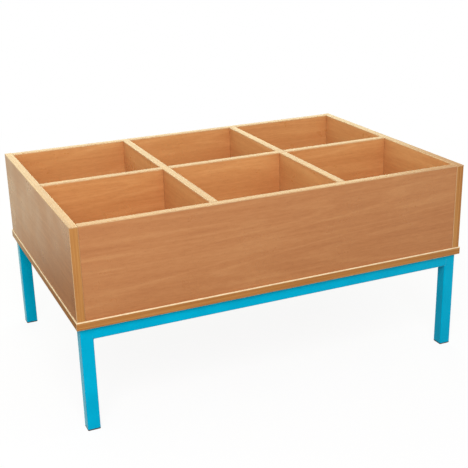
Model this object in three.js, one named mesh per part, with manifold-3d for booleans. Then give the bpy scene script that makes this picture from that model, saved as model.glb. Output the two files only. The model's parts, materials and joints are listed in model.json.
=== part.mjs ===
// Picture book browser bin: an open-topped box of six cells on two square-tube leg frames.
// Millimetres, +Z up, +X along the length, +Y to the back. The origin is on the floor at the centre.
import * as THREE from 'three';
import { mergeVertices } from 'three/addons/utils/BufferGeometryUtils.js';
import Module from 'manifold-3d';

// Box
const BOX_LENGTH = 916;
const BOX_DEPTH = 616;
const PANEL_HEIGHT = 198;
const PANEL_THICK = 18;
const FRONT_RECESS = 1.5;
const LAP_CLEARANCE = 0.2;

// Base board under the box
const BASE_THICK = 18;
const BASE_OVERHANG = 2;

// Edge bands glued to every board edge that shows
const EDGE_BAND = 2;
const BAND_RADIUS = 1.5;
const GLUE_LINE = 0.05;

// Leg frames: legs with a rail between them, one frame at the front and one at the back
const FRAME_HEIGHT = 232;
const LEG_TUBE = 27;
const RAIL_TUBE = 27;
const TUBE_WALL = 1.5;
const TUBE_CORNER = 2.5;
const TUBE_INNER_CORNER = 1;
const LEG_INSET_X = 7.5;
const LEG_INSET_Y = 7.5;

// Foot inserts
const FOOT_FLANGE = 2.5;
const FOOT_STEM = 18;
const FOOT_CLEARANCE = 0.3;
const FOOT_STEM_CORNER = 1.5;

// Dowels
const DOWEL_DIAMETER = 8;
const DOWEL_LENGTH = 30;
const DOWEL_COVER = 6;
const DOWEL_EDGE = 45;
const DOWEL_CHAMFER = 1;
const DOWEL_CLEARANCE = 0.1;
const DOWEL_END_GAP = 0.5;

// Pan-head screws that hold the base on the rails
const RAIL_SCREW_DIAMETER = 5;
const RAIL_SCREW_HEAD = 10;
const RAIL_SCREW_HEAD_HEIGHT = 3;
const RAIL_SCREW_COVER = 6;
const RAIL_SCREW_INSET = 65;
const RAIL_SCREW_TIP = 4;

// Countersunk screws that hold the end panels on the base
const BASE_SCREW_DIAMETER = 5;
const BASE_SCREW_HEAD = 10;
const BASE_SCREW_LAND = 0.4;
const BASE_SCREW_LENGTH = 50;
const BASE_SCREW_INSET = 120;
const BASE_SCREW_TIP = 6;

// Cross recess in every screw head
const RECESS_WIDTH = 1.2;
const RECESS_SPAN = 4.6;
const RECESS_DEPTH = 1.6;

const SCREW_CLEARANCE = 0.15;
const SEAT_GAP = 0.2;
const CUT_MARGIN = 1;
const ROUND_SIDES = 12;
const CORNER_STEPS = 2;

// Heights and half spans that follow from the sizes above
const baseTop = FRAME_HEIGHT + BASE_THICK;
const boxTop = baseTop + PANEL_HEIGHT;
const panelBottom = baseTop + SEAT_GAP;
const coreTop = boxTop - EDGE_BAND - GLUE_LINE;
const lapHeight = baseTop + PANEL_HEIGHT / 2;
const halfLength = BOX_LENGTH / 2;
const halfDepth = BOX_DEPTH / 2;
const halfThick = PANEL_THICK / 2;
const baseHalfLength = halfLength + BASE_OVERHANG;
const baseHalfDepth = halfDepth + BASE_OVERHANG;
const bandStep = EDGE_BAND + GLUE_LINE;

// Faces that the dividers meet, and the middle planes of the boards
const innerX = halfLength - PANEL_THICK;
const facePanelY = halfDepth - FRONT_RECESS - halfThick;
const innerY = facePanelY - halfThick;
const endPanelX = halfLength - halfThick;
const cellLength = (BOX_LENGTH - 4 * PANEL_THICK) / 3;
const crossX = (cellLength + PANEL_THICK) / 2;

const ENDS = [['left', -1], ['right', 1]];
const ROWS = [['front', -1], ['back', 1]];
const AXES = {
  x: new THREE.Vector3(1, 0, 0),
  y: new THREE.Vector3(0, 1, 0),
  z: new THREE.Vector3(0, 0, 1),
};

const FINISHES = {
  board: { color: 0xc58758, roughness: 0.45, metalness: 0 },
  edging: { color: 0xd9ab6c, roughness: 0.5, metalness: 0 },
  coated_steel: { color: 0x00a6d2, roughness: 0.4, metalness: 0.1 },
  foot_plastic: { color: 0x4a4440, roughness: 0.6, metalness: 0 },
  dowel_wood: { color: 0xd8b384, roughness: 0.7, metalness: 0 },
  zinc: { color: 0xb9bcc0, roughness: 0.35, metalness: 1 },
};

const wasm = await Module();
wasm.setup();

const box = new THREE.Group();
const frames = new THREE.Group();
const bin = new THREE.Group();
bin.add(box, frames);

// Bores, slots and screw seats of each board, in the whole object's coordinates
const cuts = new Map();

function addCut(pieceName, geometry) {
  const list = cuts.get(pieceName) ?? [];
  list.push(geometry);
  cuts.set(pieceName, list);
}

// A closed mesh as a solid that can be joined and cut
function solidOf(geometry) {
  const bare = geometry.clone();
  bare.deleteAttribute('normal');
  bare.deleteAttribute('uv');
  const merged = mergeVertices(bare);
  const vertProperties = new Float32Array(merged.attributes.position.array);
  const triVerts = new Uint32Array(merged.index.array);
  return new wasm.Manifold(new wasm.Mesh({ numProp: 3, vertProperties, triVerts }));
}

function geometryOf(solid) {
  const mesh = solid.getMesh();
  const geometry = new THREE.BufferGeometry();
  geometry.setAttribute('position', new THREE.BufferAttribute(mesh.vertProperties, 3));
  geometry.setIndex(new THREE.BufferAttribute(mesh.triVerts, 1));
  geometry.computeVertexNormals();
  return geometry;
}

// One named piece at its place, less the cuts that belong to it
function addPiece(group, name, finish, geometry, place) {
  let shape = geometry;
  if (cuts.has(name)) {
    let solid = solidOf(geometry);
    for (const cut of cuts.get(name)) {
      const local = cut.clone().translate(-place.x, -place.y, -place.z);
      solid = solid.subtract(solidOf(local));
    }
    shape = geometryOf(solid);
  }
  const mesh = new THREE.Mesh(shape, new THREE.MeshStandardMaterial(FINISHES[finish]));
  mesh.name = name;
  mesh.position.copy(place);
  group.add(mesh);
  return mesh;
}

function block(xs, ys, zs) {
  return new THREE.BoxGeometry(xs[1] - xs[0], ys[1] - ys[0], zs[1] - zs[0]);
}

function middle(xs, ys, zs) {
  return new THREE.Vector3((xs[0] + xs[1]) / 2, (ys[0] + ys[1]) / 2, (zs[0] + zs[1]) / 2);
}

// A rectangular board given by its low and high limits along each axis
function addBoard(name, xs, ys, zs) {
  addPiece(box, name, 'board', block(xs, ys, zs), middle(xs, ys, zs));
}

function cutSlot(name, xs, ys, zs) {
  const place = middle(xs, ys, zs);
  addCut(name, block(xs, ys, zs).translate(place.x, place.y, place.z));
}

// A section carried straight along +Z
function prism(section, length) {
  const settings = { depth: length, bevelEnabled: false, curveSegments: CORNER_STEPS };
  return new THREE.ExtrudeGeometry(section, settings);
}

// An edge band: rounded outer arrises, run along one direction from its start point
function addBand(name, start, outward, run, length, width) {
  const radius = Math.min(BAND_RADIUS, EDGE_BAND, width / 2);
  const half = width / 2;
  const profile = new THREE.Shape();
  profile.moveTo(-half, 0);
  profile.lineTo(half, 0);
  profile.lineTo(half, EDGE_BAND - radius);
  profile.absarc(half - radius, EDGE_BAND - radius, radius, 0, Math.PI / 2);
  profile.absarc(radius - half, EDGE_BAND - radius, radius, Math.PI / 2, Math.PI);
  const geometry = prism(profile, length);
  const across = new THREE.Vector3().crossVectors(outward, run);
  geometry.applyMatrix4(new THREE.Matrix4().makeBasis(across, outward, run));
  const place = start.clone().addScaledVector(outward, GLUE_LINE);
  addPiece(box, name, 'edging', geometry, place);
}

// A round bar or bore about its own middle, along one axis
function roundBar(axis, diameter, length) {
  const bar = new THREE.CylinderGeometry(diameter / 2, diameter / 2, length, ROUND_SIDES);
  return turnAlong(bar, axis);
}

// Turns a shape made about +Y so that it lies along another axis
function turnAlong(geometry, axis) {
  const turn = new THREE.Quaternion().setFromUnitVectors(AXES.y, axis);
  return geometry.applyQuaternion(turn);
}

// A dowel across a joint: bored into the face of one board and the end of the other
function addDowel(name, faceBoard, endBoard, face, inward) {
  const faceDepth = PANEL_THICK - DOWEL_COVER - DOWEL_END_GAP;
  const place = face.clone().addScaledVector(inward, DOWEL_LENGTH / 2 - faceDepth);
  const axis = new THREE.Vector3(Math.abs(inward.x), Math.abs(inward.y), Math.abs(inward.z));
  const boreDiameter = DOWEL_DIAMETER + 2 * DOWEL_CLEARANCE;
  const boreLength = DOWEL_LENGTH + 2 * DOWEL_END_GAP;
  const bore = roundBar(axis, boreDiameter, boreLength).translate(place.x, place.y, place.z);
  addCut(faceBoard, bore);
  addCut(endBoard, bore);
  const radius = DOWEL_DIAMETER / 2;
  const chamfer = Math.min(DOWEL_CHAMFER, radius / 2);
  const half = DOWEL_LENGTH / 2;
  const outline = [
    new THREE.Vector2(0, -half),
    new THREE.Vector2(radius - chamfer, -half),
    new THREE.Vector2(radius, chamfer - half),
    new THREE.Vector2(radius, half - chamfer),
    new THREE.Vector2(radius - chamfer, half),
    new THREE.Vector2(0, half),
  ];
  const dowel = turnAlong(new THREE.LatheGeometry(outline, ROUND_SIDES), axis);
  addPiece(box, name, 'dowel_wood', dowel, place);
}

// A screw that stands on its head, from a half outline; a cross recess is cut into the head
function addScrew(group, name, outline, place) {
  const body = turnAlong(new THREE.LatheGeometry(outline, ROUND_SIDES), AXES.z);
  const depth = 2 * RECESS_DEPTH;
  const lengthways = solidOf(new THREE.BoxGeometry(RECESS_SPAN, RECESS_WIDTH, depth));
  const crossways = solidOf(new THREE.BoxGeometry(RECESS_WIDTH, RECESS_SPAN, depth));
  const solid = solidOf(body).subtract(lengthways.add(crossways));
  addPiece(group, name, 'zinc', geometryOf(solid), place);
}

function roundedSquare(path, side, radius) {
  const half = side / 2;
  const reach = half - Math.min(radius, half);
  const corner = half - reach;
  path.absarc(reach, reach, corner, 0, Math.PI / 2);
  path.absarc(-reach, reach, corner, Math.PI / 2, Math.PI);
  path.absarc(-reach, -reach, corner, Math.PI, 1.5 * Math.PI);
  path.absarc(reach, -reach, corner, 1.5 * Math.PI, 2 * Math.PI);
  return path;
}

// A square tube that starts at the origin and runs along +Z
function squareTube(side, length) {
  const section = roundedSquare(new THREE.Shape(), side, TUBE_CORNER);
  section.holes.push(roundedSquare(new THREE.Path(), side - 2 * TUBE_WALL, TUBE_INNER_CORNER));
  return prism(section, length);
}

// Lays a piece that runs along +Z along +X instead
function layAlongX(geometry) {
  return geometry.applyMatrix4(new THREE.Matrix4().makeBasis(AXES.y, AXES.z, AXES.x));
}

// Half laps: the cross dividers are slotted from below, the long divider from above
const slotHalf = halfThick + LAP_CLEARANCE;
for (const [end, side] of ENDS) {
  const centre = side * crossX;
  const across = [centre - halfThick - CUT_MARGIN, centre + halfThick + CUT_MARGIN];
  const crossSlot = [panelBottom - CUT_MARGIN, lapHeight + LAP_CLEARANCE / 2];
  cutSlot(`${end}_cross_divider`, across, [-slotHalf, slotHalf], crossSlot);
  const along = [-halfThick - CUT_MARGIN, halfThick + CUT_MARGIN];
  const longSlot = [lapHeight - LAP_CLEARANCE / 2, boxTop + CUT_MARGIN];
  cutSlot('long_divider', [centre - slotHalf, centre + slotHalf], along, longSlot);
}

// Dowels at the box's corners
const dowelHeights = [['low', baseTop + DOWEL_EDGE], ['high', boxTop - DOWEL_EDGE]];
for (const [end, side] of ENDS) {
  for (const [row, way] of ROWS) {
    for (const [level, height] of dowelHeights) {
      const face = new THREE.Vector3(side * innerX, way * facePanelY, height);
      const inward = new THREE.Vector3(-side, 0, 0);
      addDowel(`${row}_${end}_${level}_dowel`, `${end}_end_panel`, `${row}_panel`, face, inward);
    }
  }
}

// Dowels at the dividers' ends
for (const [end, side] of ENDS) {
  const endFace = new THREE.Vector3(side * innerX, 0, lapHeight);
  const towardsMiddle = new THREE.Vector3(-side, 0, 0);
  addDowel(`long_divider_${end}_dowel`, `${end}_end_panel`, 'long_divider', endFace, towardsMiddle);
  for (const [row, way] of ROWS) {
    const face = new THREE.Vector3(side * crossX, way * innerY, lapHeight);
    const inward = new THREE.Vector3(0, -way, 0);
    const divider = `${end}_cross_divider`;
    addDowel(`${divider}_${row}_dowel`, `${row}_panel`, divider, face, inward);
  }
}

// Half outline of a countersunk screw; its seat is the same, larger all round and open below the head
function countersunkOutline(growth, below) {
  const shank = BASE_SCREW_DIAMETER / 2 + growth;
  const head = BASE_SCREW_HEAD / 2 + growth;
  return [
    new THREE.Vector2(0, -below),
    new THREE.Vector2(head, -below),
    new THREE.Vector2(head, BASE_SCREW_LAND),
    new THREE.Vector2(shank, BASE_SCREW_LAND + head - shank),
    new THREE.Vector2(shank, BASE_SCREW_LENGTH - BASE_SCREW_TIP + growth),
    new THREE.Vector2(0, BASE_SCREW_LENGTH + growth),
  ];
}

const baseScrewY = halfDepth - BASE_SCREW_INSET;
const baseScrewBottom = FRAME_HEIGHT + SCREW_CLEARANCE;
const screwOutline = countersunkOutline(0, 0);
for (const [end, side] of ENDS) {
  for (const [row, way] of ROWS) {
    const place = new THREE.Vector3(side * endPanelX, way * baseScrewY, baseScrewBottom);
    const seatOutline = countersunkOutline(SCREW_CLEARANCE, CUT_MARGIN);
    const seat = turnAlong(new THREE.LatheGeometry(seatOutline, ROUND_SIDES), AXES.z);
    seat.translate(place.x, place.y, place.z);
    addCut('base_panel', seat);
    addCut(`${end}_end_panel`, seat);
    addScrew(box, `base_screw_${row}_${end}`, screwOutline, place);
  }
}

// Leg frames
const legX = baseHalfLength - LEG_INSET_X - LEG_TUBE / 2;
const legY = baseHalfDepth - LEG_INSET_Y - LEG_TUBE / 2;
const railY = baseHalfDepth - LEG_INSET_Y - RAIL_TUBE / 2;
const railHalf = legX - LEG_TUBE / 2 - SEAT_GAP;
const tubeTop = FRAME_HEIGHT - SEAT_GAP;
const railBottom = tubeTop - RAIL_TUBE;
const legBottom = FOOT_FLANGE + SEAT_GAP;

const railScrewRadius = RAIL_SCREW_DIAMETER / 2;
const railScrewLength = baseTop - RAIL_SCREW_COVER - railBottom + SEAT_GAP;
const railScrewOutline = [
  new THREE.Vector2(0, 0),
  new THREE.Vector2(RAIL_SCREW_HEAD / 2, 0),
  new THREE.Vector2(RAIL_SCREW_HEAD / 2, RAIL_SCREW_HEAD_HEIGHT),
  new THREE.Vector2(railScrewRadius, RAIL_SCREW_HEAD_HEIGHT),
  new THREE.Vector2(railScrewRadius, RAIL_SCREW_HEAD_HEIGHT + railScrewLength - RAIL_SCREW_TIP),
  new THREE.Vector2(0, RAIL_SCREW_HEAD_HEIGHT + railScrewLength),
];
const railScrewReach = railHalf - RAIL_SCREW_INSET;
const railScrewPlaces = [['left', -railScrewReach], ['middle', 0], ['right', railScrewReach]];

function addFoot(name, x, y) {
  const stemSide = LEG_TUBE - 2 * TUBE_WALL - 2 * FOOT_CLEARANCE;
  const flange = prism(roundedSquare(new THREE.Shape(), LEG_TUBE, TUBE_CORNER), FOOT_FLANGE);
  const stem = prism(roundedSquare(new THREE.Shape(), stemSide, FOOT_STEM_CORNER), FOOT_FLANGE + FOOT_STEM);
  const solid = solidOf(flange).add(solidOf(stem));
  addPiece(frames, name, 'foot_plastic', geometryOf(solid), new THREE.Vector3(x, y, 0));
}

for (const [row, way] of ROWS) {
  for (const [end, side] of ENDS) {
    const x = side * legX;
    const y = way * legY;
    const place = new THREE.Vector3(x, y, legBottom);
    addPiece(frames, `${row}_${end}_leg`, 'coated_steel', squareTube(LEG_TUBE, tubeTop - legBottom), place);
    addFoot(`${row}_${end}_foot`, x, y);
  }
  for (const [position, x] of railScrewPlaces) {
    const seatBottom = railBottom - SEAT_GAP;
    const head = new THREE.Vector3(x, way * railY, seatBottom - RAIL_SCREW_HEAD_HEIGHT);
    const boreDiameter = RAIL_SCREW_DIAMETER + 2 * SCREW_CLEARANCE;
    const boreLength = railScrewLength + 2 * SCREW_CLEARANCE;
    const bore = roundBar(AXES.z, boreDiameter, boreLength);
    bore.translate(x, way * railY, seatBottom + railScrewLength / 2);
    addCut(`${row}_rail`, bore);
    addCut('base_panel', bore);
    addScrew(frames, `${row}_rail_screw_${position}`, railScrewOutline, head);
  }
  const rail = layAlongX(squareTube(RAIL_TUBE, 2 * railHalf));
  const railPlace = new THREE.Vector3(-railHalf, way * railY, tubeTop - RAIL_TUBE / 2);
  addPiece(frames, `${row}_rail`, 'coated_steel', rail, railPlace);
}

// Boards of the box, with their edge bands
const bandUp = AXES.z;
const bandHeight = coreTop - panelBottom;
for (const [end, side] of ENDS) {
  const xs = [side * endPanelX - halfThick, side * endPanelX + halfThick];
  const coreDepth = halfDepth - bandStep;
  addBoard(`${end}_end_panel`, xs, [-coreDepth, coreDepth], [panelBottom, coreTop]);
  const top = new THREE.Vector3(side * endPanelX, -halfDepth, coreTop);
  addBand(`${end}_end_top_band`, top, bandUp, AXES.y, BOX_DEPTH, PANEL_THICK);
  for (const [row, way] of ROWS) {
    const foot = new THREE.Vector3(side * endPanelX, way * coreDepth, panelBottom);
    const outward = new THREE.Vector3(0, way, 0);
    addBand(`${end}_end_${row}_band`, foot, outward, AXES.z, bandHeight, PANEL_THICK);
  }
}

const faceHalf = innerX - SEAT_GAP;
for (const [row, way] of ROWS) {
  const ys = [way * facePanelY - halfThick, way * facePanelY + halfThick];
  addBoard(`${row}_panel`, [-faceHalf, faceHalf], ys, [panelBottom, coreTop]);
  const start = new THREE.Vector3(-faceHalf, way * facePanelY, coreTop);
  addBand(`${row}_top_band`, start, bandUp, AXES.x, 2 * faceHalf, PANEL_THICK);
}

const crossHalf = innerY - SEAT_GAP;
for (const [end, side] of ENDS) {
  const xs = [side * crossX - halfThick, side * crossX + halfThick];
  addBoard(`${end}_cross_divider`, xs, [-crossHalf, crossHalf], [panelBottom, coreTop]);
  const start = new THREE.Vector3(side * crossX, -crossHalf, coreTop);
  addBand(`${end}_cross_divider_band`, start, bandUp, AXES.y, 2 * crossHalf, PANEL_THICK);
}

addBoard('long_divider', [-faceHalf, faceHalf], [-halfThick, halfThick], [panelBottom, coreTop]);
const crossFace = crossX + slotHalf;
const midFace = crossX - slotHalf;
const longBands = [
  ['left', -faceHalf, -crossFace],
  ['middle', -midFace, midFace],
  ['right', crossFace, faceHalf],
];
for (const [position, from, to] of longBands) {
  const start = new THREE.Vector3(from, 0, coreTop);
  addBand(`long_divider_${position}_band`, start, bandUp, AXES.x, to - from, PANEL_THICK);
}

const baseCoreX = baseHalfLength - bandStep;
const baseCoreY = baseHalfDepth - bandStep;
const baseMiddle = FRAME_HEIGHT + BASE_THICK / 2;
addBoard('base_panel', [-baseCoreX, baseCoreX], [-baseCoreY, baseCoreY], [FRAME_HEIGHT, baseTop]);
for (const [row, way] of ROWS) {
  const start = new THREE.Vector3(-baseHalfLength, way * baseCoreY, baseMiddle);
  addBand(`base_${row}_band`, start, new THREE.Vector3(0, way, 0), AXES.x, 2 * baseHalfLength, BASE_THICK);
}
for (const [end, side] of ENDS) {
  const start = new THREE.Vector3(side * baseCoreX, -baseCoreY, baseMiddle);
  addBand(`base_${end}_band`, start, new THREE.Vector3(side, 0, 0), AXES.y, 2 * baseCoreY, BASE_THICK);
}

export default bin;
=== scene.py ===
# Looks of the picture book browser bin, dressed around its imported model. Metres, +Z up.
import json
import math

import bmesh
import bpy
from mathutils import Matrix, Vector


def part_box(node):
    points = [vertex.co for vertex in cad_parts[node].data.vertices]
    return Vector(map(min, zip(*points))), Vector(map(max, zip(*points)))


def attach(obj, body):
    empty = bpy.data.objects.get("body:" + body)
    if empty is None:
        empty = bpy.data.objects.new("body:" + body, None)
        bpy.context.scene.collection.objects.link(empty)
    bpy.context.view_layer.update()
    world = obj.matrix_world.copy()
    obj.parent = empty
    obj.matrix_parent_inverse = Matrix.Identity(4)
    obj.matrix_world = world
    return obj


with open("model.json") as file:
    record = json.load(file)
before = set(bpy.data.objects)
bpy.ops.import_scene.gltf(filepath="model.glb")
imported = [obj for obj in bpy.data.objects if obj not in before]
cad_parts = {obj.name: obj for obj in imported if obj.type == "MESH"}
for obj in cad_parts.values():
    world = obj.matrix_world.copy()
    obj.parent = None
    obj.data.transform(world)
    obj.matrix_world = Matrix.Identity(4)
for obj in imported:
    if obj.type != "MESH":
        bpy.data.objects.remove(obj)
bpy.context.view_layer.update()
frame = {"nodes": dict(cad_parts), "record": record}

MM = 0.001
AXES = "XYZ"
UP = Vector((0, 0, 1))
ROWS = ("front", "back")
ENDS = (("left", -1), ("right", 1))

# The camera at the photograph's viewpoint
IMAGE_PIXELS = 468
FOCAL_PIXELS = 921.0
SENSOR_WIDTH = 36.0
CAMERA_PLACE = Vector((-0.8360, -1.9375, 1.0259))
CAMERA_AZIMUTH = math.radians(-23.828)
CAMERA_ELEVATION = math.radians(19.976)
CAMERA_ROLL = math.radians(-1.317)

# Soft boxes: where each stands, the point it faces, its width and height, its watts and tone
WHITE = (255, 255, 255)
KEY_PLACE = Vector((-1.3, -2.6, 2.7))
KEY_AIM = Vector((-1.5, 0, 0.3))
KEY_SIZE = (2.2, 2.2)
KEY_WATTS = 100.0
RIM_PLACE = Vector((0.7, 3.0, 1.6))
RIM_AIM = Vector((0, 0, 0.3))
RIM_SIZE = (3.5, 2.6)
RIM_WATTS = 62.0
RIM_TONE = (242, 254, 217)
CELL_WATTS = 0.29
CELL_TONE = (200, 242, 240)

# Radiance of the surroundings as the camera sees them, and as a soft fill on the bin
BACKGROUND = 1.0
AMBIENT = 0.49

# The floor: half its width, and how far it lies below the feet
FLOOR_HALF = 40.0
FLOOR_DROP = 0.2 * MM

# Its paper's tone to the camera, and in the light that it throws back onto the bin
PAPER_TONE = WHITE
BOUNCE_TONE = (186, 186, 186)

# To the camera it glows white far off, and a little less near the bin, where the paper takes the shadow
PAPER_WITHIN = 0.9
WHITE_BEYOND = 2.4
PAPER_GLOW = 0.90

# Mirrored in the bin, the floor is dim close to it, a painted shade, and warm and bright further away
PAINTED_SHADE_WITHIN = 0.60
BRIGHT_BEYOND = 1.36
PAINTED_SHADE_GLOW = 0.02
BRIGHT_GLOW = 1.0
MIRRORED_TONE = (255, 252, 222)

# Colours as they look, in 8-bit sRGB
BOARD_TONES = ((203, 140, 88), (191, 125, 75), (176, 109, 62))
FLECK_TONE = (142, 84, 46)
SCUFF_TONE = (222, 184, 140)
EDGING_TONES = ((198, 139, 73), (185, 122, 58), (169, 105, 45))
CORE_TONE = (250, 226, 184)
TEAL_TONES = ((0, 183, 222), (0, 174, 213))
RUBBED_TEAL = (120, 205, 228)
FOOT_TONES = ((84, 74, 72), (66, 58, 58))
DOWEL_TONES = ((226, 196, 152), (214, 180, 134), (198, 160, 112))
ZINC_TONES = ((196, 199, 204), (168, 172, 180))

# The part of a noise's range that is stretched to full contrast: the narrower, the harder
NARROW = (0.3, 0.7)
MIDDLE = (0.25, 0.75)
WIDE = (0.2, 0.8)

# Cosines at which a surface starts to count as an arris, or as turned away, and at which it fully does
ARRIS_COSINES = (0.995, 0.80)
TURNED_COSINES = (0.985, 0.90)
ARRIS_SAMPLES = 6

# Sockets of the colour mix node, which has several of the same name
MIX_FACTOR, MIX_FIRST, MIX_SECOND = 0, 6, 7
MIX_RESULT = 2


def linear(tone):
    """An 8-bit sRGB tone as a linear colour with full alpha."""
    shares = (value / 255 for value in tone)
    parts = [s / 12.92 if s <= 0.04045 else ((s + 0.055) / 1.055) ** 2.4 for s in shares]
    return (*parts, 1.0)


class Graph:
    """A shader node tree, with short calls that add and join its nodes."""

    def __init__(self, owner):
        owner.use_nodes = True
        self.tree = owner.node_tree
        self.tree.nodes.clear()

    def add(self, kind, sockets=None, **settings):
        """A new node with these settings, its input sockets fed by name."""
        node = self.tree.nodes.new(kind)
        for name, value in settings.items():
            setattr(node, name, value)
        for name, value in (sockets or {}).items():
            self.feed(node.inputs[name], value)
        return node

    def feed(self, socket, value):
        """Links another node's output to a socket, or sets the socket's own value."""
        if isinstance(value, bpy.types.NodeSocket):
            self.tree.links.new(value, socket)
        else:
            socket.default_value = value

    def fed(self, node, *values):
        """Feeds a node's first sockets in order, and gives back the node."""
        for socket, value in zip(node.inputs, values):
            self.feed(socket, value)
        return node

    def math(self, operation, *values):
        """The result of a math node."""
        return self.fed(self.add("ShaderNodeMath", operation=operation), *values).outputs["Value"]

    def vector_math(self, operation, *values):
        """The number that a vector math node gives."""
        return self.fed(self.add("ShaderNodeVectorMath", operation=operation), *values).outputs["Value"]

    def span(self, value, low, high, to_low=0.0, to_high=1.0):
        """Maps low..high smoothly to to_low..to_high."""
        sockets = {"Value": value, "From Min": low, "From Max": high}
        sockets.update({"To Min": to_low, "To Max": to_high})
        node = self.add("ShaderNodeMapRange", sockets, interpolation_type="SMOOTHSTEP")
        return node.outputs["Result"]

    def blend(self, factor, first, second):
        """A colour between two others."""
        node = self.add("ShaderNodeMix", data_type="RGBA")
        self.feed(node.inputs[MIX_FACTOR], factor)
        self.feed(node.inputs[MIX_FIRST], first)
        self.feed(node.inputs[MIX_SECOND], second)
        return node.outputs[MIX_RESULT]

    def mixed(self, factor, first, second):
        """A shader between two others."""
        return self.fed(self.add("ShaderNodeMixShader"), factor, first, second).outputs["Shader"]

    def glow(self, kind, tone, strength):
        """An even light of one tone, from an emission or a background node."""
        return self.add(kind, {"Color": linear(tone), "Strength": strength}).outputs[0]

    def rays(self):
        """Two switches: 1 for camera rays, and 1 for every ray that sees the surroundings."""
        path = self.add("ShaderNodeLightPath")
        camera = path.outputs["Is Camera Ray"]
        mirrored = self.math("MAXIMUM", camera, path.outputs["Is Glossy Ray"])
        return camera, self.math("MAXIMUM", mirrored, path.outputs["Is Transmission Ray"])

    def show(self, kind, shader):
        """Ends the tree in an output node."""
        self.add(kind, {"Surface": shader})


class Paint(Graph):
    """A procedural material in its object's own coordinates."""

    def __init__(self, name):
        self.material = bpy.data.materials.new(name)
        super().__init__(self.material)
        places = self.add("ShaderNodeTexCoord")
        self.position = places.outputs["Object"]
        self.normal = places.outputs["Normal"]

    def noise(self, vector, scale=1.0, detail=2.0, rough=0.5, distortion=0.0):
        """Smooth noise with this many features per unit of the vector."""
        sockets = {"Vector": vector, "Scale": scale, "Detail": detail}
        sockets.update({"Roughness": rough, "Distortion": distortion})
        return self.add("ShaderNodeTexNoise", sockets).outputs["Fac"]

    def patches(self, scale, **settings):
        """Noise with the same number of features per metre every way."""
        return self.noise(self.position, scale=scale, **settings)

    def grain(self, axis, pitch, **settings):
        """Noise drawn out on an axis, with these features per metre along and across it."""
        along, across = pitch
        scale = tuple(along if letter == axis else across for letter in AXES)
        mapping = self.add("ShaderNodeMapping", {"Vector": self.position, "Scale": scale})
        return self.noise(mapping.outputs["Vector"], **settings)

    def swing(self, value, window, amount):
        """Shifts by up to an amount either way, across a window of the value."""
        return self.span(value, *window, -amount, amount)

    def total(self, first, *others):
        """The sum of several values."""
        for other in others:
            first = self.math("ADD", first, other)
        return first

    def ramp(self, factor, tones):
        """A colour ramp with its tones spread evenly from 0 to 1."""
        node = self.add("ShaderNodeValToRGB", {"Fac": factor})
        stops = node.color_ramp.elements
        for _ in tones[2:]:
            stops.new(0.5)
        for index, (stop, tone) in enumerate(zip(stops, tones)):
            stop.position = index / (len(tones) - 1)
            stop.color = linear(tone)
        return node.outputs["Color"]

    def arris(self, radius):
        """0 on flat faces, rising to 1 on edges sharper than the given radius."""
        rounded = self.add("ShaderNodeBevel", {"Radius": radius}, samples=ARRIS_SAMPLES).outputs["Normal"]
        flat = self.add("ShaderNodeNewGeometry").outputs["Normal"]
        return self.span(self.vector_math("DOT_PRODUCT", rounded, flat), *ARRIS_COSINES)

    def turned_from(self, axis):
        """0 where the surface faces along an axis of the object, 1 where it has turned away."""
        parts = self.add("ShaderNodeSeparateXYZ", {"Vector": self.normal})
        facing = self.math("ABSOLUTE", parts.outputs[axis])
        return self.span(facing, *TURNED_COSINES)

    def bump(self, height, strength, distance):
        """The normal of a surface with this relief."""
        sockets = {"Height": height, "Strength": strength, "Distance": distance}
        return self.add("ShaderNodeBump", sockets).outputs["Normal"]

    def surface(self, colour, rough, normal, extra=None):
        """Ends the material in one principled shader, and gives the material back."""
        sockets = {"Base Color": colour, "Roughness": rough, "Normal": normal, **(extra or {})}
        shader = self.add("ShaderNodeBsdfPrincipled", sockets)
        self.show("ShaderNodeOutputMaterial", shader.outputs["BSDF"])
        return self.material


# Beech print: features per metre along and across the grain
FIGURE_PITCH = (0.8, 10.0)
BAND_PITCH = (1.0, 62.0)
FIBRE_PITCH = (3.2, 230.0)
RAY_PITCH = (55.0, 260.0)
PORE_PITCH = (170.0, 1200.0)

# Its tone: a middle value, what the broad figure adds, its dark lines, and shifts of the finer features
PRINT_TONE = 0.41
FIGURE_GAIN = 0.16
FIGURE_LINES = 62.0
LINE_WINDOW = (0.35, 1.0)
LINE_TONES = (0.04, -0.15)
BAND_SHIFT = 0.11
FIBRE_SHIFT = 0.14
RAY_SHIFT = 0.11
CLOUD_SHIFT = 0.07

# Its flecks, worn arrises and gloss
PORE_WINDOW = (0.64, 0.74)
PORE_DARKNESS = 0.32
PORE_DEPTH = 0.6
WORN_RADIUS = 1.2 * MM
WORN_WINDOW = (0.48, 0.66)
WORN_PALENESS = (0.10, 0.5)
BOARD_ROUGHNESS = 0.31
DOWEL_ROUGHNESS = 0.65
SMEAR_GLOSS = 0.05
SMEAR_DULLNESS = 0.06


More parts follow.
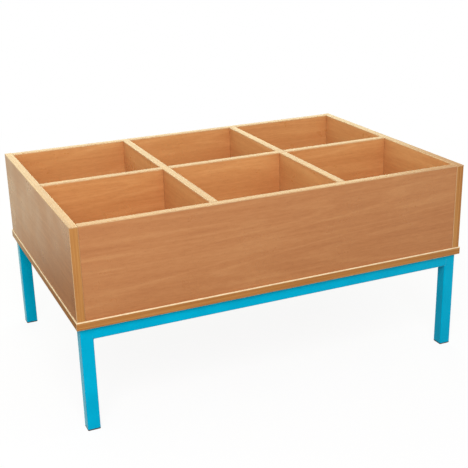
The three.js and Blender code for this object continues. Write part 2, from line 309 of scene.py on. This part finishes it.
def beech_board(name, axis, tones=BOARD_TONES, roughness=BOARD_ROUGHNESS):
    """Satin beech print: long curved figure, fine fibres and short flecks along one axis."""
    paint = Paint(name)
    figure = paint.grain(axis, FIGURE_PITCH, detail=1.5, distortion=0.25)
    lines = paint.math("SINE", paint.math("MULTIPLY", figure, FIGURE_LINES))
    bands = paint.grain(axis, BAND_PITCH, detail=1.0)
    fibre = paint.grain(axis, FIBRE_PITCH, detail=3.0, rough=0.6)
    rays = paint.grain(axis, RAY_PITCH, detail=2.0)
    pores = paint.grain(axis, PORE_PITCH, detail=1.0)
    cloud = paint.patches(scale=3.2, detail=2.0)

    tone = paint.total(
        paint.math("MULTIPLY_ADD", figure, FIGURE_GAIN, PRINT_TONE),
        paint.span(lines, *LINE_WINDOW, *LINE_TONES),
        paint.swing(bands, MIDDLE, BAND_SHIFT),
        paint.swing(fibre, WIDE, FIBRE_SHIFT),
        paint.swing(rays, MIDDLE, RAY_SHIFT),
        paint.swing(cloud, NARROW, CLOUD_SHIFT),
    )
    colour = paint.ramp(tone, tones)
    fleck = paint.span(pores, *PORE_WINDOW, 0.0, PORE_DARKNESS)
    colour = paint.blend(fleck, colour, linear(FLECK_TONE))

    scuffs = paint.patches(scale=46.0, detail=5.0, rough=0.7)
    paleness = paint.span(scuffs, *WORN_WINDOW, *WORN_PALENESS)
    worn = paint.math("MULTIPLY", paint.arris(WORN_RADIUS), paleness)
    colour = paint.blend(worn, colour, linear(SCUFF_TONE))

    smears = paint.patches(scale=9.0, detail=4.0, rough=0.65)
    rough = paint.span(smears, *NARROW, roughness - SMEAR_GLOSS, roughness + SMEAR_DULLNESS)
    relief = paint.math("SUBTRACT", fibre, paint.math("MULTIPLY", pores, PORE_DEPTH))
    normal = paint.bump(relief, strength=0.12, distance=0.08 * MM)
    return paint.surface(colour, rough, normal)


# Edge band: features per metre along and across the grain, its tones and its gloss
STREAK_PITCH = (2.5, 330.0)
EDGING_FIBRE_PITCH = (14.0, 1100.0)
EDGING_CLOUD_PITCH = (5.0, 30.0)
STREAK_TONES = (0.10, 0.90)
EDGING_FIBRE_SHIFT = 0.16
EDGING_CLOUD_SHIFT = 0.12
EDGING_ROUGHNESS = (0.33, 0.38)

# The pale core on its trimmed arrises: how much shows, and how deep the base's bands are trimmed. Along
# the top of the base's bands the bright pale strip is partly bared core and partly a painted highlight
BARED_WINDOW = (0.30, 0.60)
BARED_LEAST = 0.75
PALENESS = 0.35
BASE_PALENESS_AND_HIGHLIGHT = 0.95
TRIM_DEPTH = 2.5 * MM
TRIM_BLUR = 0.3 * MM


def beech_edging(name, axis, face, paleness, bared_and_highlit_above=None):
    """Straight-grained amber edge band; its trimmed arrises show the pale core, and along the top of the
    base's bands a bright pale strip is partly a painted highlight.
    """
    paint = Paint(name)
    streaks = paint.grain(axis, STREAK_PITCH, detail=1.5)
    fibre = paint.grain(axis, EDGING_FIBRE_PITCH, detail=2.0)
    cloud = paint.grain(axis, EDGING_CLOUD_PITCH, detail=2.0)
    tone = paint.total(
        paint.span(streaks, *MIDDLE, *STREAK_TONES),
        paint.swing(fibre, MIDDLE, EDGING_FIBRE_SHIFT),
        paint.swing(cloud, NARROW, EDGING_CLOUD_SHIFT),
    )
    colour = paint.ramp(tone, EDGING_TONES)

    scuffs = paint.patches(scale=60.0, detail=5.0, rough=0.7)
    trimmed = paint.turned_from(face)
    if bared_and_highlit_above is not None:
        # Along the top of the base's bands: a bright pale strip, partly bared core and partly a painted
        # highlight
        height = paint.add("ShaderNodeSeparateXYZ", {"Vector": paint.position}).outputs["Z"]
        bared_and_highlit_strip = paint.span(height, bared_and_highlit_above - TRIM_BLUR, bared_and_highlit_above + TRIM_BLUR)
        trimmed = paint.math("MAXIMUM", trimmed, bared_and_highlit_strip)
    shown = paint.span(scuffs, *BARED_WINDOW, paleness * BARED_LEAST, paleness)
    colour = paint.blend(paint.math("MULTIPLY", trimmed, shown), colour, linear(CORE_TONE))

    rough = paint.span(scuffs, *NARROW, *EDGING_ROUGHNESS)
    normal = paint.bump(streaks, strength=0.05, distance=0.06 * MM)
    return paint.surface(colour, rough, normal)


# Powder coat: rubbed arrises, gloss, and a pale sheen at grazing angles
RUBBED_RADIUS = 1.0 * MM
RUBBED_WINDOW = (0.56, 0.70)
RUBBED_PALENESS = 0.3
COAT_ROUGHNESS = (0.27, 0.36)
COAT_MIRROR_TINT = (0.0, 0.72, 1.0, 1.0)
SHEEN_WEIGHT = 1.0
SHEEN_ROUGHNESS = 0.27
SHEEN_TINT = (0.62, 1.0, 1.0, 1.0)


def powder_coat(name):
    """Semi-gloss teal powder coat with fine orange peel and rubbed arrises."""
    paint = Paint(name)
    mottle = paint.patches(scale=14.0, detail=3.0)
    colour = paint.ramp(paint.span(mottle, *NARROW), TEAL_TONES)
    scuffs = paint.patches(scale=70.0, detail=5.0, rough=0.7)
    paleness = paint.span(scuffs, *RUBBED_WINDOW, 0.0, RUBBED_PALENESS)
    rubbed = paint.math("MULTIPLY", paint.arris(RUBBED_RADIUS), paleness)
    colour = paint.blend(rubbed, colour, linear(RUBBED_TEAL))
    peel = paint.patches(scale=620.0, detail=2.0)
    swell = paint.patches(scale=150.0, detail=1.0)
    rough = paint.span(mottle, *NARROW, *COAT_ROUGHNESS)
    normal = paint.bump(paint.total(peel, swell), strength=0.22, distance=0.12 * MM)
    sheen = {"Sheen Weight": SHEEN_WEIGHT, "Sheen Roughness": SHEEN_ROUGHNESS, "Sheen Tint": SHEEN_TINT}
    return paint.surface(colour, rough, normal, {"Specular Tint": COAT_MIRROR_TINT, **sheen})


# Roughness of the feet and of the screws, and the screws' turning marks per metre along and across
FOOT_ROUGHNESS = (0.48, 0.62)
ZINC_ROUGHNESS = (0.24, 0.42)
TURNING_PITCH = (4200.0, 300.0)


def moulded_plastic(name):
    """Dark moulded foot plastic with a fine spark texture and floor scuffs."""
    paint = Paint(name)
    grime = paint.patches(scale=160.0, detail=4.0, rough=0.65)
    colour = paint.ramp(paint.span(grime, *NARROW), FOOT_TONES)
    spark = paint.patches(scale=2200.0, detail=1.0)
    rough = paint.span(grime, *NARROW, *FOOT_ROUGHNESS)
    normal = paint.bump(spark, strength=0.3, distance=0.06 * MM)
    return paint.surface(colour, rough, normal)


def zinc_plate(name):
    """Bright zinc plate with faint turning marks round upright screws, and dull patches."""
    paint = Paint(name)
    dull = paint.patches(scale=420.0, detail=3.0)
    turning = paint.grain("Z", TURNING_PITCH, detail=1.0)
    colour = paint.ramp(paint.span(dull, *NARROW), ZINC_TONES)
    rough = paint.span(dull, *NARROW, *ZINC_ROUGHNESS)
    normal = paint.bump(turning, strength=0.15, distance=0.03 * MM)
    return paint.surface(colour, rough, normal, {"Metallic": 1.0})


# Arris of each slot: width, segments, and the sharpest angle in degrees that stays as it is
ARRIS = {
    "beech_board": (0.35 * MM, 2, 40),
    "beech_edging": (0.20 * MM, 2, 40),
    "dowel_wood": (0.20 * MM, 2, 50),
    "teal_steel": (0.30 * MM, 2, 50),
    "foot_plastic": (0.50 * MM, 3, 50),
    "zinc_screw": (0.20 * MM, 2, 50),
}

# Corners of a mesh that are closer than this are joined
JOIN_DISTANCE = 0.01 * MM

# Finishes without a grain, and all the finishes made so far
PLAIN_FINISHES = {"teal_steel": powder_coat, "foot_plastic": moulded_plastic, "zinc_screw": zinc_plate}
finishes = {}


def soften(node, width, segments, limit):
    """Joins split corners, rounds the sharp arrises and keeps flat faces flat in shading."""
    for face in node.data.polygons:
        face.use_smooth = True
    join = node.modifiers.new("join", "WELD")
    join.merge_threshold = JOIN_DISTANCE
    bevel = node.modifiers.new("arris", "BEVEL")
    bevel.width = width
    bevel.segments = segments
    bevel.limit_method = "ANGLE"
    bevel.angle_limit = math.radians(limit)
    bevel.use_clamp_overlap = True
    normals = node.modifiers.new("normals", "WEIGHTED_NORMAL")
    normals.keep_sharp = True


def finish_of(slot, size):
    """The material of a slot for a node of this size, made once for each grain direction."""
    order = sorted(range(3), key=lambda index: size[index])
    face, axis = AXES[order[0]], AXES[order[2]]
    name = slot if slot in PLAIN_FINISHES else f"{slot}_{axis}{face}".lower()
    if name in finishes:
        return finishes[name]
    if slot == "beech_board":
        made = beech_board(name, axis)
    elif slot == "dowel_wood":
        made = beech_board(name, axis, DOWEL_TONES, DOWEL_ROUGHNESS)
    elif slot == "beech_edging":
        # The base's bands get a bright pale strip along their top: partly bared core, partly a painted
        # highlight
        on_base = "Z" not in (axis, face)
        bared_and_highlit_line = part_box("base_panel")[1].z - TRIM_DEPTH if on_base else None
        made = beech_edging(name, axis, face, BASE_PALENESS_AND_HIGHLIGHT if on_base else PALENESS, bared_and_highlit_line)
    else:
        made = PLAIN_FINISHES[slot](name)
    finishes[name] = made
    return made


def dress_nodes():
    """Gives every node its finish and its soft arrises."""
    for subpart in frame["record"]["subparts"]:
        slot = subpart["material_slot"]
        node = frame["nodes"][subpart["node"]]
        low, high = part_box(subpart["node"])
        node.data.materials.clear()
        node.data.materials.append(finish_of(slot, high - low))
        soften(node, *ARRIS[slot])


# Weld bead under each rail end: it tapers over a share of its length to thin tips
TUBE_CORNER = 2.5 * MM
BEAD_RADIUS = 2.6 * MM
BEAD_INSET = TUBE_CORNER / 2
BEAD_TAPER = 1 / 6
BEAD_TIP = 0.35
BEAD_TOE = 0.80
BEAD_CROWN = 0.08
BEAD_PITCH = 1.7 * MM
BEAD_RIPPLE = 0.16
BEAD_STEPS = 48
BEAD_SIDES = 8

# Weld fills at the two faces of each rail end: ground almost flush, with feathered edges
FILL_PROUD = 0.04 * MM
FILL_BURIED = 0.02 * MM
FILL_LAP = 0.7 * MM
FILL_FEATHER = 0.5 * MM
FILL_FOOT = 0.8 * TUBE_CORNER
FILL_WAVE = 0.25
FILL_WAVE_TURN = 2.4
FILL_STEPS = 12
ARC_STEPS = 4


def add_weld(name, rings):
    """A closed solid through a row of equal rings of points, painted as the tubes are."""
    mesh = bmesh.new()
    loops = [[mesh.verts.new(point) for point in ring] for ring in rings]
    for before, after in zip(loops, loops[1:]):
        for index in range(len(before)):
            other = (index + 1) % len(before)
            mesh.faces.new((before[index], before[other], after[other], after[index]))
    mesh.faces.new(list(reversed(loops[0])))
    mesh.faces.new(loops[-1])
    bmesh.ops.recalc_face_normals(mesh, faces=mesh.faces)
    data = bpy.data.meshes.new(name)
    mesh.to_mesh(data)
    mesh.free()
    data.materials.append(finishes["teal_steel"])
    for face in data.polygons:
        face.use_smooth = True
    weld = bpy.data.objects.new(name, data)
    bpy.context.scene.collection.objects.link(weld)
    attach(weld, "root")


def quarter(step, steps):
    """The angle of a step within a quarter turn."""
    return math.pi / 2 * step / steps


def bead_rings(start, end, off_leg, off_rail):
    """A rippled fillet along the corner between a leg's face and a rail's underside."""
    along = end - start
    rings = []
    for step in range(BEAD_STEPS + 1):
        share = step / BEAD_STEPS
        taper = min(1.0, share / BEAD_TAPER, (1 - share) / BEAD_TAPER) ** 0.5
        ripple = 1 - BEAD_RIPPLE * abs(math.sin(math.pi * share * along.length / BEAD_PITCH))
        radius = BEAD_RADIUS * (BEAD_TIP + (1 - BEAD_TIP) * taper) * ripple
        centre = start + along * share
        ring = [centre]
        for side in range(BEAD_SIDES + 1):
            angle = quarter(side, BEAD_SIDES)
            swell = BEAD_TOE + BEAD_CROWN * math.sin(2 * angle)
            reach = off_leg * math.cos(angle) + off_rail * math.sin(angle)
            ring.append(centre + reach * radius * swell)
        rings.append(ring)
    return rings


def fill_rings(low, high, gap, off_leg, outward):
    """A ground weld that fills the groove between a leg's round corner and a rail's end."""
    groove = [(gap, TUBE_CORNER), (0.0, TUBE_CORNER)]
    for step in range(1, ARC_STEPS + 1):
        angle = quarter(step, ARC_STEPS)
        across = TUBE_CORNER * (math.cos(angle) - 1)
        groove.append((across, TUBE_CORNER * (1 - math.sin(angle))))
    leg_lap = -TUBE_CORNER - FILL_LAP
    rail_lap = gap + FILL_LAP
    rings = []
    for step in range(FILL_STEPS + 1):
        proud = FILL_PROUD * (1 - FILL_WAVE + FILL_WAVE * math.sin(FILL_WAVE_TURN * step))
        skin = [
            (leg_lap, FILL_BURIED),
            (leg_lap + FILL_FEATHER, -proud),
            (rail_lap - FILL_FEATHER, -proud),
            (rail_lap, FILL_BURIED),
        ]
        centre = low.lerp(high, step / FILL_STEPS)
        rings.append([centre + off_leg * u - outward * v for u, v in skin + groove])
    return rings


def weld_frames():
    """Welds each rail to its legs: a bead under each end, and a fill at its front and its back."""
    for row in ROWS:
        rail_low, rail_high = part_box(f"{row}_rail")
        for end, side in ENDS:
            leg_low, leg_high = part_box(f"{row}_{end}_leg")
            off_leg = Vector((-side, 0, 0))
            face = leg_high.x if side < 0 else leg_low.x
            gap = abs((rail_low.x if side < 0 else rail_high.x) - face)
            bead_from = Vector((face, rail_low.y + BEAD_INSET, rail_low.z))
            bead_to = Vector((face, rail_high.y - BEAD_INSET, rail_low.z))
            add_weld(f"{row}_{end}_under_weld", bead_rings(bead_from, bead_to, off_leg, -UP))
            for facing, outward_y, plane in (("front", -1, rail_low.y), ("back", 1, rail_high.y)):
                fill_from = Vector((face, plane, rail_low.z + FILL_FOOT))
                fill_to = Vector((face, plane, rail_high.z))
                outward = Vector((0, outward_y, 0))
                rings = fill_rings(fill_from, fill_to, gap, off_leg, outward)
                add_weld(f"{row}_{end}_{facing}_weld", rings)


def make_world():
    """White to the camera, a little warm in reflections, and a soft even fill for the rest."""
    world = bpy.data.worlds.new("studio")
    graph = Graph(world)
    camera_ray, studio_ray = graph.rays()
    seen = graph.glow("ShaderNodeBackground", WHITE, BACKGROUND)
    mirrored = graph.glow("ShaderNodeBackground", MIRRORED_TONE, BRIGHT_GLOW)
    fill = graph.glow("ShaderNodeBackground", WHITE, AMBIENT)
    studio = graph.mixed(camera_ray, mirrored, seen)
    graph.show("ShaderNodeOutputWorld", graph.mixed(studio_ray, fill, studio))
    bpy.context.scene.world = world


def floor_paper():
    """Paper that takes the bin's shadow, white to the camera further off, and warm in reflections, with a
    painted shade close to the bin.
    """
    material = bpy.data.materials.new("floor_paper")
    graph = Graph(material)
    camera_ray, studio_ray = graph.rays()
    place = graph.add("ShaderNodeNewGeometry").outputs["Position"]
    distance = graph.vector_math("LENGTH", place)
    tone = graph.blend(camera_ray, linear(BOUNCE_TONE), linear(PAPER_TONE))
    paper = graph.add("ShaderNodeBsdfDiffuse", {"Color": tone}).outputs["BSDF"]
    # Painted shade: in reflections the floor's glow is dimmed close to the bin
    mirrored_glow_and_painted_shade = graph.span(distance, PAINTED_SHADE_WITHIN, BRIGHT_BEYOND, PAINTED_SHADE_GLOW, BRIGHT_GLOW)
    mirrored = graph.glow("ShaderNodeEmission", MIRRORED_TONE, mirrored_glow_and_painted_shade)
    seen = graph.glow("ShaderNodeEmission", WHITE, BACKGROUND)
    studio = graph.mixed(camera_ray, mirrored, seen)
    white = graph.span(distance, PAPER_WITHIN, WHITE_BEYOND, PAPER_GLOW)
    share = graph.math("MULTIPLY", studio_ray, white)
    graph.show("ShaderNodeOutputMaterial", graph.mixed(share, paper, studio))
    return material


def make_floor():
    """A wide white floor that keeps a faint shadow of the bin."""
    data = bpy.data.meshes.new("floor")
    turns = ((-1, -1), (1, -1), (1, 1), (-1, 1))
    corners = [(x * FLOOR_HALF, y * FLOOR_HALF, 0) for x, y in turns]
    data.from_pydata(corners, [], [(0, 1, 2, 3)])
    data.materials.append(floor_paper())
    floor = bpy.data.objects.new("floor", data)
    floor.location.z = -FLOOR_DROP
    bpy.context.scene.collection.objects.link(floor)


def soft_box(name, place, target, size, watts, tone=WHITE):
    """A rectangular lamp that faces a point and that the camera doesn't see."""
    data = bpy.data.lights.new(name, "AREA")
    data.shape = "RECTANGLE"
    data.size, data.size_y = size
    data.energy = watts
    data.color = linear(tone)[:3]
    lamp = bpy.data.objects.new(name, data)
    lamp.location = place
    lamp.rotation_euler = (target - place).to_track_quat("-Z", "Y").to_euler()
    lamp.visible_camera = False
    bpy.context.scene.collection.objects.link(lamp)


def make_lights():
    """The key and the rim, and a weak soft box in each cell's mouth that lights only its inside."""
    soft_box("key", KEY_PLACE, KEY_AIM, KEY_SIZE, KEY_WATTS)
    soft_box("rim", RIM_PLACE, RIM_AIM, RIM_SIZE, RIM_WATTS, RIM_TONE)
    for opening in frame["record"]["physics"]["openings"]:
        if opening["name"].endswith("_cell"):
            low, high = map(Vector, opening["box_m"])
            size = high - low
            mouth = Vector((low.x + size.x / 2, low.y + size.y / 2, high.z))
            name = f"{opening['name']}_fill"
            soft_box(name, mouth, mouth - UP, (size.x, size.y), CELL_WATTS, CELL_TONE)


def make_camera():
    """The camera that took the photograph, fitted to the bin's edges."""
    cos_el, sin_el = math.cos(CAMERA_ELEVATION), math.sin(CAMERA_ELEVATION)
    cos_az, sin_az = math.cos(CAMERA_AZIMUTH), math.sin(CAMERA_AZIMUTH)
    back = Vector((sin_az * cos_el, -cos_az * cos_el, sin_el))
    level = (-back).cross(UP).normalized()
    upright = level.cross(-back)
    cos_roll, sin_roll = math.cos(CAMERA_ROLL), math.sin(CAMERA_ROLL)
    right = level * cos_roll + upright * sin_roll
    top = upright * cos_roll - level * sin_roll
    data = bpy.data.cameras.new("camera")
    data.sensor_width = SENSOR_WIDTH
    data.lens = SENSOR_WIDTH * FOCAL_PIXELS / IMAGE_PIXELS
    camera = bpy.data.objects.new("camera", data)
    turn = Matrix((right, top, back)).transposed().to_4x4()
    camera.matrix_world = Matrix.Translation(CAMERA_PLACE) @ turn
    bpy.context.scene.collection.objects.link(camera)
    bpy.context.scene.camera = camera


dress_nodes()
weld_frames()
make_world()
make_floor()
make_lights()
make_camera()
bpy.context.scene.view_settings.view_transform = "Standard"
